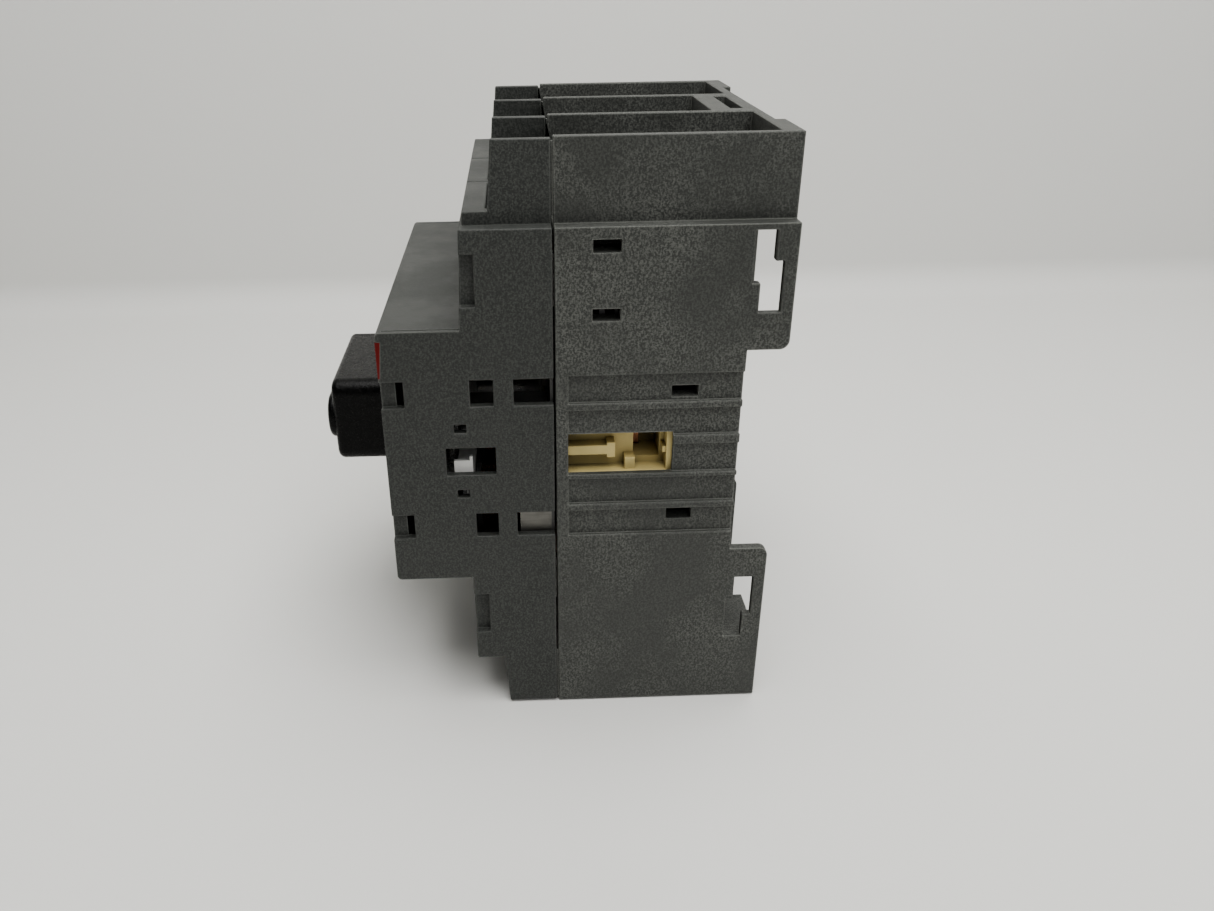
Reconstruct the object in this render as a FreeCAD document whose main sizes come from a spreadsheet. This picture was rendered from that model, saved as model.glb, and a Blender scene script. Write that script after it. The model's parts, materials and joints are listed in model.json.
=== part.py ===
"""Three-pole motor protection breaker with a rotary handle, as a parametric FreeCAD document.

Frame: millimetres. The origin is the centre of the face that sits on the mounting rail. +X is the
breaker's right side, -Y its front (the handle), +Y the rail behind it and +Z up.
"""
import FreeCAD, Part
import os
import re
import Sketcher

Vector = FreeCAD.Vector
POLES = {1: -1, 2: 0, 3: 1}      # pole number and its place across the width, in pole pitches
ENDS = {"line": 1, "load": -1}   # terminals at the top (line) and at the bottom (load)
SIDES = {"left": -1, "right": 1}
TOWER_WIDTH = {"line": "barrier_width", "load": "width"}     # the load end is flush with the sides

# Driving dimensions, in millimetres and degrees. Depths are measured forward from the rail seat.
DIMENSIONS = {
    # envelope
    "width": 70.0,
    "face_depth": 57.5,
    "terminal_depth": 44.5,
    "joint_depth": 30.0,
    "joint_gap": 0.3,
    "rear_depth": 6.5,
    "block_height": 45.0,
    "ledge_height": 76.0,
    "terminal_height": 80.0,
    "front_height": 100.4,
    "overall_height": 101.0,
    "barrier_depth": 39.8,
    "barrier_lean": 1.0,
    "terminal_lean": 0.6,
    "load_lean": 0.1,
    "corner_radius": 1.5,
    # poles and walls
    "pole_pitch": 21.2,
    "barrier": 1.2,
    "barrier_width": 64.8,
    "side_wall": 1.6,
    "bay_wall": 3.0,
    "rear_wall": 2.8,
    "chamber_floor": 36.4,
    "cavity_half": 34.4,
    # rail recess, hooks and latch
    "rail_recess": 36.5,
    "hook_plate": 1.5,
    "hook_cavity_top": 42.0,
    "hook_block_half": 9.8,
    "seat_relief": 0.3,
    "lip_reach": 1.75,
    "rail_gap": 1.3,
    "latch_width": 13.0,
    "latch_thickness": 1.7,
    "latch_reach": 3.2,
    "latch_travel": 2.5,
    "latch_spring_foot": -35.9,
    "latch_spring_head": -25.0,
    # hook windows in the side walls, measured up from the rail's centre
    "hook_window_inner": 24.2,
    "hook_window_step": 28.9,
    "hook_window_wide": 32.3,
    "hook_window_outer": 37.0,
    "hook_window_notch": 1.2,
    "hook_window_narrow": 3.15,
    "hook_window_depth": 4.6,
    # square accessory windows in the side walls
    "window_inner": 9.8,
    "window_outer": 14.3,
    "window_rear": 39.7,
    "window_front": 43.4,
    "joint_window_front": 36.5,
    "notch_rear": 53.8,
    "notch_depth": 1.2,
    "notch_slot": 1.3,
    "pin_window_inner": 5.2,
    "pin_window_outer": 6.7,
    "pin_window_rear": 44.25,
    "pin_window_front": 46.25,
    "driver_window_half": 2.5,
    "driver_window_front": 47.8,
    "grip_inner": 26.2,
    "grip_outer": 34.3,
    "grip_rear": 41.9,
    "grip_depth": 1.4,
    # grooved panel and slots on the rear housing's sides
    "panel_front": 27.9,
    "panel_depth": 0.8,
    "band_height": 4.8,
    "outer_band": 12.2,
    "inner_band": 6.2,
    "carrier_window_low": -3.0,
    "carrier_window_high": 4.2,
    "carrier_window_rear": 10.8,
    "slot_length": 4.2,
    "slot_height": 2.0,
    "slot_depth": 4.3,
    "rib_slot_rear": 7.1,
    "rib_slot_at": 11.3,
    "vent_slot_rear": 19.9,
    "vent_slot_low": 24.5,
    "vent_slot_high": 35.1,
    # terminals
    "pocket_width": 18.0,
    "pocket_floor": 21.8,
    "pocket_front": 39.9,
    "access_radius": 3.6,
    "terminal_at": 28.0,
    "clamp_width": 13.0,
    "clamp_wall": 1.4,
    "clamp_height": 8.6,
    "screw_head_radius": 3.2,
    "screw_radius": 2.4,
    "clamp_front": 39.4,
    "clamp_rear": 26.4,
    "screw_front": 43.2,
    "screw_tip": 35.0,
    "fixing_z": 35.4,
    "fixing_radius": 0.95,
    "fixing_head": 1.7,
    "fixing_front": 43.2,
    "fixing_tip": 18.0,
    # current path
    "strip": 1.4,
    "blade_front": 29.4,
    "blade_low": 22.6,
    "run_top": 34.4,
    "strip_rear": 2.8,
    "strip_end": 9.6,
    "strip_width": 8.0,
    "contact_face": 7.6,
    "contact_radius": 2.6,
    "contact_at": 13.5,
    "contact_gap": 6.2,
    "bridge_half": 16.5,
    "bridge_thickness": 1.5,
    "plate_count": 7,
    "plate_pitch": 2.4,
    "plate_thickness": 0.9,
    "plate_front": 25.2,
    "plate_half": 9.9,
    "plate_notch": 3.6,
    "plate_low": 17.6,
    "plate_high": 31.4,
    # contact carrier
    "carrier_front": 28.3,
    "carrier_rear": 10.3,
    "carrier_half": 7.0,
    "carrier_width": 66.4,
    "carrier_pocket": 3.0,
    "slot_front": 25.8,
    # handle and drive
    "axis_height": -2.2,
    "grip_length": 28.0,
    "grip_height": 15.8,
    "handle_base": 57.8,
    "handle_front": 69.6,
    "crest_front": 70.8,
    "crest_width": 8.4,
    "shaft_radius": 4.0,
    "shaft_rear": 31.9,
    "cam_radius": 4.4,
    "running_gap": 0.05,
    "grip_radius": 2.5,
    "grip_softness": 1.2,
    "crest_end": 3.8,
    "crest_radius": 0.8,
    "crest_inset": 0.6,
    "shaft_front": 67.0,
    "cam_front": 36.0,
    "lock_left": 4.8,
    "lock_right": 11.2,
    "lock_width": 3.0,
    "lock_floor": 1.6,
    # front cover and its controls
    "cover_thickness": 2.0,
    "cover_rim": 1.6,
    "dial_radius": 5.0,
    "dial_x": -22.5,
    "dial_z": -10.5,
    "button_width": 5.0,
    "button_x": 25.5,
    "button_z": -14.5,
    "label_width": 34.0,
    "label_height": 7.0,
    "label_x": -12.0,
    "label_z": 15.0,
    "label_thickness": 0.5,
    "inlay_left": 17.0,
    "inlay_bottom": 15.0,
    "inlay_top": 21.0,
    "inlay_thickness": 0.8,
    "face_radius": 0.8,
    "groove_inset": 0.8,
    # releases
    "coil_radius": 5.2,
    "coil_height": -13.6,
    "coil_rear": 33.4,
    "coil_front": 43.6,
    "plunger_radius": 1.8,
    "bimetal_height": 12.0,
    "frame_half": 33.1,
    "frame_rear": 30.7,
    "frame_low": -19.0,
    "frame_high": -8.2,
    "core_front": 35.0,
    "bobbin_bore": 2.0,
    "plunger_front": 46.2,
    "plunger_rear": 37.4,
    "bimetal_tip": 46.0,
    "slide_front": 48.4,
    "trip_axis_depth": 49.5,
    "trip_axis_height": -16.5,
    "trip_rod_radius": 1.5,
    "trip_rod_half": 32.0,
    # mechanism plate, latch lever and auxiliary driver
    "base_front": 30.7,
    "base_rear": 30.2,
    "base_half": 19.4,
    "lever_depth": 50.6,
    "lever_pivot_radius": 1.5,
    "lever_post_front": 49.0,
    "lever_x": 14.0,
    "lever_z": 0.5,
    "driver_front": 46.7,
    "driver_half": 33.1,
    "driver_plate": 0.8,
}

doc = FreeCAD.newDocument("motor_protection_breaker")
sheet = doc.addObject("Spreadsheet::Sheet", "Dims")
for row, (alias, value) in enumerate(DIMENSIONS.items(), start=1):
    sheet.set(f"A{row}", alias)
    sheet.set(f"B{row}", str(value))
    sheet.setAlias(f"B{row}", alias)
doc.recompute()

sub_parts = []


# ---------------------------------------------------------------- helpers
def formula(text):
    """Turn 'width / 2' into an expression that reads the cells of the sheet."""
    return re.sub(r"[a-z_]{3,}", lambda word: f"Dims.{word[0]}", str(text))


def number(text):
    """The value of a formula, for code that needs a number."""
    value = sheet.evalExpression(formula(text))
    return float(getattr(value, "Value", value))


def bind(obj, **properties):
    for name, text in properties.items():
        obj.setExpression(name, formula(text))


def place(obj, x="0", y="0", z="0", rotation=None):
    if rotation:
        obj.Placement = FreeCAD.Placement(Vector(), rotation)
    for axis, text in (("x", x), ("y", y), ("z", z)):
        obj.setExpression(f"Placement.Base.{axis}", formula(text))


def box(name, x, y, z):
    """A box between the low and high formula of each axis."""
    solid = doc.addObject("Part::Box", name)
    for side, (low, high) in zip(("Length", "Width", "Height"), (x, y, z)):
        bind(solid, **{side: f"({high}) - ({low})"})
    place(solid, x[0], y[0], z[0])
    return solid


ALONG = {
    "x": FreeCAD.Rotation(Vector(0, 1, 0), 90),
    "y": FreeCAD.Rotation(Vector(1, 0, 0), -90),
    "z": FreeCAD.Rotation(),
}


def rod(name, along, at, radius, span):
    """A cylinder along an axis; at gives the other two coordinates in X, Y, Z order."""
    solid = doc.addObject("Part::Cylinder", name)
    bind(solid, Radius=radius, Height=f"({span[1]}) - ({span[0]})")
    centre = list(at)
    centre.insert("xyz".index(along), span[0])
    place(solid, *centre, rotation=ALONG[along])
    return solid


def fuse(name, pieces):
    solid = doc.addObject("Part::MultiFuse", name)
    solid.Shapes = pieces
    solid.Refine = True
    return solid


def cut(name, base, tools):
    solid = doc.addObject("Part::Cut", name)
    solid.Base = base
    solid.Tool = tools[0] if len(tools) == 1 else fuse(f"{name}_tools", tools)
    solid.Refine = True
    return solid


def group(name, pieces):
    """Separate solids that share one node."""
    shape = doc.addObject("Part::Compound", name)
    shape.Links = pieces
    return shape


def keep(obj, label):
    obj.Label = label
    sub_parts.append(obj)
    return obj


def mirrored(low, high, side):
    """The pair (low, high) on the plus side, or its mirror image on the minus side."""
    return (f"{low}", f"{high}") if side > 0 else (f"-({high})", f"-({low})")


def centred(size, at="0"):
    return (f"({at}) - ({size}) / 2", f"({at}) + ({size}) / 2")


def pole_x(pole):
    return f"{POLES[pole]} * pole_pitch"


def new_body(name):
    return doc.addObject("PartDesign::Body", name)


def sketch_on(body, role, name, offset="0"):
    sketch = body.newObject("Sketcher::SketchObject", name)
    plane = next(item for item in body.Origin.OriginFeatures if item.Role == role)
    sketch.AttachmentSupport = [(plane, "")]
    sketch.MapMode = "FlatFace"
    sketch.setExpression("AttachmentOffset.Base.z", formula(offset))
    return sketch


def outline(sketch, corners):
    """A closed polygon whose corners are pairs of formulas, each held by two named distances."""
    first = sketch.GeometryCount
    points = [(number(across), number(up)) for across, up in corners]
    count = len(points)
    for index, (across, up) in enumerate(points):
        end = points[(index + 1) % count]
        sketch.addGeometry(Part.LineSegment(Vector(across, up, 0), Vector(*end, 0)), False)
    for index in range(count):
        following = first + (index + 1) % count
        sketch.addConstraint(Sketcher.Constraint("Coincident", first + index, 2, following, 1))
    for index, (corner, point) in enumerate(zip(corners, points)):
        for kind, text, value in zip(("DistanceX", "DistanceY"), corner, point):
            held = Sketcher.Constraint(kind, -1, 1, first + index, 1, value)
            name = f"{kind[-1].lower()}{first + index}"
            sketch.renameConstraint(sketch.addConstraint(held), name)
            sketch.setExpression(f"Constraints.{name}", formula(text))


def pad(body, sketch, length, both_ways=False, backwards=False):
    feature = body.newObject("PartDesign::Pad", f"{sketch.Name}_pad")
    feature.Profile = sketch
    feature.Midplane = both_ways
    feature.Reversed = backwards
    bind(feature, Length=length)
    sketch.Visibility = False
    doc.recompute()
    return feature


def fillet(body, base, radius, wanted):
    """Round the edges of the last feature that the test picks out."""
    names = [f"Edge{index}" for index, edge in enumerate(base.Shape.Edges, start=1) if wanted(edge)]
    feature = body.newObject("PartDesign::Fillet", f"{base.Name}_fillet")
    feature.Base = (base, names)
    bind(feature, Radius=radius)
    doc.recompute()
    return feature


def runs_along(edge, axis):
    """True for a straight edge parallel to the axis."""
    ends = [vertex.Point for vertex in edge.Vertexes]
    if len(ends) != 2 or edge.Curve.TypeId != "Part::GeomLine":
        return False
    return abs((ends[1] - ends[0]).normalize().dot(axis)) > 0.999


def lies_at(edge, depth):
    """True for an edge in the plane y = depth."""
    return all(abs(vertex.Y - depth) < 0.01 for vertex in edge.Vertexes)


def spring(name, along, at, radius, wire, span, turns):
    """A helical spring of round wire between the two ends of span."""
    centre = list(at)
    centre.insert("xyz".index(along), f"({span[0]}) + {wire}")
    spine = doc.addObject("Part::Helix", f"{name}_spine")
    bind(spine, Radius=radius, Height=f"({span[1]}) - ({span[0]}) - 2 * {wire}")
    spine.setExpression("Pitch", f"{spine.Name}.Height / {turns}")
    place(spine, *centre, rotation=ALONG[along])
    section = doc.addObject("Part::Circle", f"{name}_section")
    bind(section, Radius=wire)
    doc.recompute()
    start = spine.Shape.Edges[0]
    tangent = start.tangentAt(start.FirstParameter)
    facing = FreeCAD.Rotation(Vector(0, 0, 1), tangent)
    section.Placement = FreeCAD.Placement(start.valueAt(start.FirstParameter), facing)
    coil = doc.addObject("Part::Sweep", name)
    coil.Sections = [section]
    coil.Spine = (spine, [f"Edge{index}" for index in range(1, len(spine.Shape.Edges) + 1)])
    coil.Solid = True
    coil.Frenet = True
    return coil


# ---------------------------------------------------------------- rear housing
FRONT_OF_REAR = "-joint_depth + joint_gap / 2"
BACK_OF_FRONT = "-joint_depth - joint_gap / 2"
CHAMBER_WIDTH = "pole_pitch - barrier"


def hook_window(side, end):
    """The stepped window through one side wall beside a rail hook."""
    name = f"hook_window_{side}_{end}"
    body = new_body(name)
    sketch = sketch_on(body, "YZ_Plane", f"{name}_outline")
    corners = [
        ("0", "hook_window_outer"),
        ("hook_window_narrow", "hook_window_outer"),
        ("hook_window_narrow", "hook_window_wide"),
        ("hook_window_depth", "hook_window_wide"),
        ("hook_window_depth", "hook_window_inner"),
        ("hook_window_notch", "hook_window_inner"),
        ("hook_window_notch", "hook_window_step"),
        ("0", "hook_window_step"),
    ]
    outline(sketch, [(across, f"{ENDS[end]} * {height}") for across, height in corners])
    pad(body, sketch, "2 * side_wall + 2", both_ways=True)
    place(body, x=f"{SIDES[side]} * width / 2")
    return body


def rear_profile():
    """The rear housing's side outline, with round inner corners on the two hooks."""
    body = new_body("rear_profile")
    sketch = sketch_on(body, "YZ_Plane", "rear_profile_outline")
    upper = [
        (FRONT_OF_REAR, "ledge_height / 2"),
        ("rear_depth", "ledge_height / 2"),
        ("rear_depth", "rail_recess / 2"),
        ("0", "rail_recess / 2"),
    ]
    lower = [(across, f"-{height}") for across, height in reversed(upper)]
    outline(sketch, upper + lower)
    solid = pad(body, sketch, "width", both_ways=True)
    edge_y, edge_z = number("rear_depth"), number("rail_recess / 2")

    def hook_corner(edge):
        middle = edge.CenterOfMass
        at_corner = abs(middle.y - edge_y) < 0.01 and abs(abs(middle.z) - edge_z) < 0.01
        return at_corner and runs_along(edge, Vector(1, 0, 0))

    fillet(body, solid, "corner_radius", hook_corner)
    return body


def chamber_span(pole, end):
    """Across one cable chamber; at the load end the outer two reach the flush side walls."""
    if pole == 2 or end == "line":
        return centred(CHAMBER_WIDTH, pole_x(pole))
    return mirrored("(pole_pitch + barrier) / 2", "width / 2 - side_wall", POLES[pole])


def chamber_tools():
    """The pole cavities and the cable chambers above and below them."""
    tools = []
    for pole in POLES:
        depth = (f"{FRONT_OF_REAR} - 1", "-rear_wall")
        tools.append(box(f"cavity_{pole}", centred(CHAMBER_WIDTH, pole_x(pole)), depth,
                         ("-cavity_half", "cavity_half")))
        for end, up in ENDS.items():
            across = chamber_span(pole, end)
            height = mirrored("chamber_floor", "overall_height / 2 + 1", up)
            tools.append(box(f"chamber_{pole}_{end}", across, depth, height))
            if pole != 2:
                deep = mirrored("hook_cavity_top + rear_wall / 2", "overall_height / 2 + 1", up)
                behind = ("-rear_wall - 1", "rear_depth - 2 * hook_plate")
                tools.append(box(f"deep_chamber_{pole}_{end}", across, behind, deep))
    return tools


def hook_tools():
    """The hollows behind both hooks, the rail slot, the towers' stepped backs and the latch's way."""
    tools = []
    behind = ("0.4", "rear_depth + 1")
    for end, up in ENDS.items():
        for side, sign in SIDES.items():
            tools.append(hook_window(side, end))
            open_back = mirrored("rail_recess / 2 - 1", "hook_window_outer", up)
            tools.append(box(f"hook_hollow_{side}_{end}",
                             mirrored("hook_block_half", "width / 2 - side_wall", sign), behind, open_back))
            floor = mirrored("hook_window_outer - 1", "ledge_height / 2", up)
            tools.append(box(f"hook_floor_{side}_{end}",
                             mirrored("hook_block_half", "barrier_width / 2 - 0.8", sign), behind, floor))
        tower = mirrored("ledge_height / 2", "overall_height / 2 + 1", up)
        tools.append(box(f"tower_step_{end}", centred("2 * pole_pitch - 1"),
                         ("rear_depth - hook_plate", "rear_depth + 1"), tower))
    wide_block = centred("2 * hook_block_half + 2")
    tools.append(box("rail_flange_slot", wide_block, ("0", "rail_gap"),
                     ("rail_recess / 2 - 1", "rail_recess / 2 + lip_reach")))
    tools.append(box("lip_relief", wide_block, ("-seat_relief", "0.1"),
                     ("rail_recess / 2 - lip_reach - 0.2", "rail_recess / 2 + 0.5")))
    tools.append(box("latch_tooth_way", centred("latch_width + 0.4"), ("-0.1", "latch_reach + 0.4"),
                     ("-rail_recess / 2 - 4.2", "-rail_recess / 2 + 1")))
    tools.append(box("top_pocket", centred("pole_pitch - 5"), ("0.6", "2.8"),
                     ("hook_cavity_top + 1.5", "overall_height / 2 + 1")))
    tools.append(box("latch_pull_way", centred(CHAMBER_WIDTH), ("-0.1", "rear_depth + 1"),
                     ("-overall_height / 2 - 1", "-ledge_height / 2")))
    tools.append(box("latch_channel", centred("latch_width + 0.4"), ("-latch_thickness - 0.3", "0.5"),
                     ("-overall_height / 2 - 1", "-rail_recess / 2 + latch_travel + 1")))
    return tools


def side_panel_tools():
    """Grooves, slots and the long carrier window, the same on both sides."""
    tools = []
    for side, sign in SIDES.items():
        skin = mirrored("width / 2 - panel_depth", "width / 2 + 1", sign)
        panel = ("-panel_front", "0.5")
        through = mirrored("width / 2 - slot_depth", "width / 2 + 1", sign)
        for band in ("outer_band", "inner_band"):
            for up in (1, -1):
                name = f"{band}_{side}_{'upper' if up > 0 else 'lower'}"
                tools.append(box(name, skin, panel, centred("band_height", f"{up} * {band}")))
        tools.append(box(f"middle_band_{side}", skin, panel,
                         ("carrier_window_low", "carrier_window_high - 2")))
        tools.append(box(f"carrier_window_{side}", mirrored("width / 2 - 4", "width / 2 + 1", sign),
                         ("-panel_front", "-carrier_window_rear"),
                         ("carrier_window_low", "carrier_window_high")))
        for up in (1, -1):
            name = f"rib_slot_{side}_{'upper' if up > 0 else 'lower'}"
            depth = ("-rib_slot_rear - slot_length", "-rib_slot_rear")
            tools.append(box(name, through, depth, centred("slot_height", f"{up} * rib_slot_at")))
        for level in ("vent_slot_low", "vent_slot_high"):
            depth = ("-vent_slot_rear - slot_length", "-vent_slot_rear")
            tools.append(box(f"{level}_{side}", through, depth, centred("slot_height", level)))
    return tools


def fixing_rods(name, radius, depth):
    """Cylinders on the four axes of the screws that hold the two mouldings together."""
    return [
        rod(f"{name}_{side}_{end}", "y", (f"{sign} * pole_pitch / 2", f"{up} * fixing_z"), radius, depth)
        for side, sign in SIDES.items() for end, up in ENDS.items()
    ]


def rear_housing():
    solids = [rear_profile()]
    for end, up in ENDS.items():
        tower = mirrored("ledge_height / 2 - 0.5", "overall_height / 2", up)
        depth = (FRONT_OF_REAR, "rear_depth")
        solids.append(box(f"rear_tower_{end}", centred(TOWER_WIDTH[end]), depth, tower))
    way = box("carrier_way", centred("carrier_width + 0.8"), (f"{FRONT_OF_REAR} - 1", "-3.4"),
              centred("2 * carrier_half + 1.2"))
    tools = chamber_tools() + hook_tools() + side_panel_tools() + [way]
    tools += fixing_rods("rear_fixing_way", "fixing_radius", (f"{FRONT_OF_REAR} - 1", "-fixing_tip"))
    hollow = cut("rear_moulding", fuse("rear_blank", solids), tools)
    peg = box("latch_spring_peg", centred("3"), ("-latch_thickness - 0.8", "-0.3"),
              ("latch_spring_foot - 1.1", "latch_spring_foot"))
    lip = box("rail_lip", centred("2 * hook_block_half"), ("rail_gap", "rear_depth - hook_plate + 0.2"),
              ("rail_recess / 2 - lip_reach", "rail_recess / 2 + lip_reach"))
    tongues = barrier_tongues("tongue", "0.4", "-joint_depth - 1.1")
    keep(fuse("rear_housing_solid", [hollow, peg, lip] + tongues), "rear_housing")


# ---------------------------------------------------------------- front shell
def front_profile():
    """The front shell's side outline: the handle block and the terminal rows, which lean back a little."""
    body = new_body("front_profile")
    sketch = sketch_on(body, "YZ_Plane", "front_profile_outline")
    outline(sketch, [
        ("-face_depth", "block_height / 2"),
        ("-terminal_depth", "block_height / 2"),
        ("-terminal_depth + terminal_lean", "ledge_height / 2"),
        (BACK_OF_FRONT, "ledge_height / 2"),
        (BACK_OF_FRONT, "-ledge_height / 2"),
        ("-terminal_depth + load_lean", "-ledge_height / 2"),
        ("-terminal_depth", "-block_height / 2"),
        ("-face_depth", "-block_height / 2"),
    ])
    solid = pad(body, sketch, "width", both_ways=True)
    face_y, block_z = -number("face_depth"), number("block_height / 2")

    def block_corner(edge):
        middle = edge.CenterOfMass
        return abs(middle.y - face_y) < 0.01 and abs(abs(middle.z) - block_z) < 0.01

    fillet(body, solid, "face_radius", block_corner)
    return body


def front_barriers():
    """The four walls that stand between the poles, with leaning front edges, at both ends."""
    walls = []
    low, high = "ledge_height / 2 - 0.5", "front_height / 2"
    for end, up in ENDS.items():
        for wall in range(4):
            name = f"front_barrier_{end}_{wall + 1}"
            body = new_body(name)
            sketch = sketch_on(body, "YZ_Plane", f"{name}_outline")
            outline(sketch, [
                (BACK_OF_FRONT, f"{up} * ({low})"),
                ("-barrier_depth", f"{up} * ({low})"),
                ("-barrier_depth + barrier_lean", f"{up} * {high}"),
                (BACK_OF_FRONT, f"{up} * {high}"),
            ])
            pad(body, sketch, "barrier", both_ways=True)
            place(body, x=barrier_x(wall, end))
            walls.append(body)
    return walls


def side_windows():
    """The accessory windows, notches and grips in the front shell's side walls."""
    tools = []
    for side, sign in SIDES.items():
        through = mirrored("width / 2 - side_wall - 1", "width / 2 + 1", sign)
        shallow = mirrored("width / 2 - notch_depth", "width / 2 + 1", sign)
        grip = mirrored("width / 2 - grip_depth", "width / 2 + 1", sign)
        for row, up in (("upper", 1), ("lower", -1)):
            square = mirrored("window_inner", "window_outer", up)
            pin = mirrored("pin_window_inner", "pin_window_outer", up)
            reach = mirrored("grip_inner", "grip_outer", up)
            tag = f"{side}_{row}"
            tools += [
                box(f"square_window_{tag}", through, ("-window_front", "-window_rear"), square),
                box(f"joint_window_{tag}", through, ("-joint_window_front", "-joint_depth + 1"), square),
                box(f"notch_{tag}", shallow, ("-face_depth - 1", "-notch_rear"), square),
                box(f"notch_slot_{tag}", through, ("-notch_rear - notch_slot", "-notch_rear"), square),
                box(f"pin_window_{tag}", through, ("-pin_window_front", "-pin_window_rear"), pin),
                box(f"grip_{tag}", grip, ("-terminal_depth - 1", "-grip_rear"), reach),
            ]
        tools.append(box(f"driver_window_{side}", through, ("-driver_window_front", "-window_rear"),
                         centred("2 * driver_window_half")))
    return tools


def edge_grooves():
    """Fine grooves just inside the side edges of the block's top and bottom faces."""
    tools = []
    for side, sign in SIDES.items():
        across = mirrored("width / 2 - groove_inset - 0.4", "width / 2 - groove_inset", sign)
        for row, up in (("upper", 1), ("lower", -1)):
            height = mirrored("block_height / 2 - 0.3", "block_height / 2 + 1", up)
            depth = ("-face_depth + 1", "-terminal_depth")
            tools.append(box(f"edge_groove_{side}_{row}", across, depth, height))
    return tools


def barrier_x(wall, end):
    """The middle of a barrier wall; at the load end the outer two are flush with the sides."""
    if wall in (0, 3):
        return f"{wall - 1.5} * ({TOWER_WIDTH[end]} - barrier) / 3"
    return f"{wall - 1.5} * pole_pitch"


def barrier_tongues(name, thickness, front):
    """Thin strips in the middle of every barrier wall, that bridge the joint of the mouldings."""
    return [
        box(f"{name}_{end}_{wall + 1}", centred(thickness, barrier_x(wall, end)),
            (front, "-joint_depth + 1"), mirrored("ledge_height / 2 + 1", "front_height / 2 - 0.4", up))
        for end, up in ENDS.items() for wall in range(4)
    ]


def terminal_tools():
    """The pockets for the clamps, open to the cable chamber, and the screwdriver holes."""
    tools = []
    for end, up in ENDS.items():
        for side in SIDES.values():
            tools.append(box(f"crown_groove_{end}_{side}", centred("0.5", f"{side} * pole_pitch / 2"),
                             ("-terminal_depth - 1", "-barrier_depth"),
                             mirrored("terminal_height / 2 - 0.9", "terminal_height / 2 + 1", up)))
        for pole in POLES:
            height = mirrored("pocket_floor", "overall_height / 2 + 1", up)
            across = centred("pocket_width", pole_x(pole))
            tools.append(box(f"pocket_{end}_{pole}", across, ("-pocket_front", "-joint_depth + 1"), height))
            tools.append(rod(f"access_{end}_{pole}", "y", (pole_x(pole), f"{up} * terminal_at"),
                             "access_radius", ("-terminal_depth - 1", "-pocket_front + 1")))
    return tools


def corner_wedge(name):
    """The wedge that the inlay fills at the front's upper right edge."""
    body = new_body(name)
    sketch = sketch_on(body, "YZ_Plane", f"{name}_outline", "inlay_left")
    outline(sketch, [
        ("-face_depth", "inlay_top"),
        ("-face_depth", "inlay_bottom"),
        ("-face_depth + inlay_thickness / 3", "inlay_bottom"),
        ("-face_depth + inlay_thickness", "inlay_top"),
    ])
    pad(body, sketch, "width / 2 - inlay_left")
    return body


def shell_bearings():
    """Brackets inside the bay that carry the trip shaft and guide the trip slide."""
    brackets, bores = [], []
    for side, sign in SIDES.items():
        bracket = mirrored("trip_rod_half - 2.4", "trip_rod_half - 0.4", sign)
        brackets.append(box(f"trip_bearing_{side}", bracket,
                            ("-trip_axis_depth - 1.8", "-trip_axis_depth + 1.8"),
                            ("-block_height / 2 + bay_wall - 0.5", "trip_axis_height + 2")))
        bores.append(rod(f"trip_bore_{side}", "x", ("-trip_axis_depth", "trip_axis_height"),
                         "trip_rod_radius + running_gap", bracket))
        guide = mirrored("11", "13", sign)
        top = "block_height / 2 - bay_wall + 0.5"
        brackets += [
            box(f"guide_web_{side}", guide, ("-slide_front - 1.4", "-slide_front + 2.6"), ("15.7", top)),
            box(f"guide_front_{side}", guide, ("-slide_front - 1.4", "-slide_front - 0.1"), ("13", top)),
            box(f"guide_rear_{side}", guide, ("-slide_front + 1.3", "-slide_front + 2.6"), ("11", top)),
        ]
    return brackets, bores


def front_shell():
    solids = [front_profile()]
    for end, up in ENDS.items():
        crown = mirrored("ledge_height / 2 - 0.5", "terminal_height / 2", up)
        crown_front = "-terminal_depth + 1.1" if end == "line" else "-terminal_depth + load_lean"
        solids.append(box(f"terminal_crown_{end}", centred(TOWER_WIDTH[end]),
                          (crown_front, BACK_OF_FRONT), crown))
    blank = cut("front_blank", fuse("front_blank_solid", solids), terminal_tools())
    walled = fuse("front_walled", [blank] + front_barriers())
    bay = [
        box("mechanism_bay", centred("width - 2 * side_wall"), ("-face_depth - 1", "-joint_depth + 1"),
            centred("block_height - 2 * bay_wall")),
        box("cover_seat", centred("width - 2 * cover_rim"),
            ("-face_depth - 1", "-face_depth + cover_thickness"), centred("block_height - 2 * cover_rim")),
        corner_wedge("inlay_recess"),
    ]
    brackets, bores = shell_bearings()
    hollow = fuse("front_hollow", [cut("front_opened", walled, bay)] + brackets)
    tools = bores + side_windows() + edge_grooves()
    tools += barrier_tongues("tongue_groove", "0.6", "-joint_depth - 1.4")
    tools += fixing_rods("front_fixing_way", "fixing_radius", ("-terminal_depth - 1", "-joint_depth + 1"))
    tools += fixing_rods("fixing_recess", "fixing_head + 0.1",
                         ("-terminal_depth - 1", "-fixing_front + 1.4"))
    keep(cut("front_shell_solid", hollow, tools), "front_shell")


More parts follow.
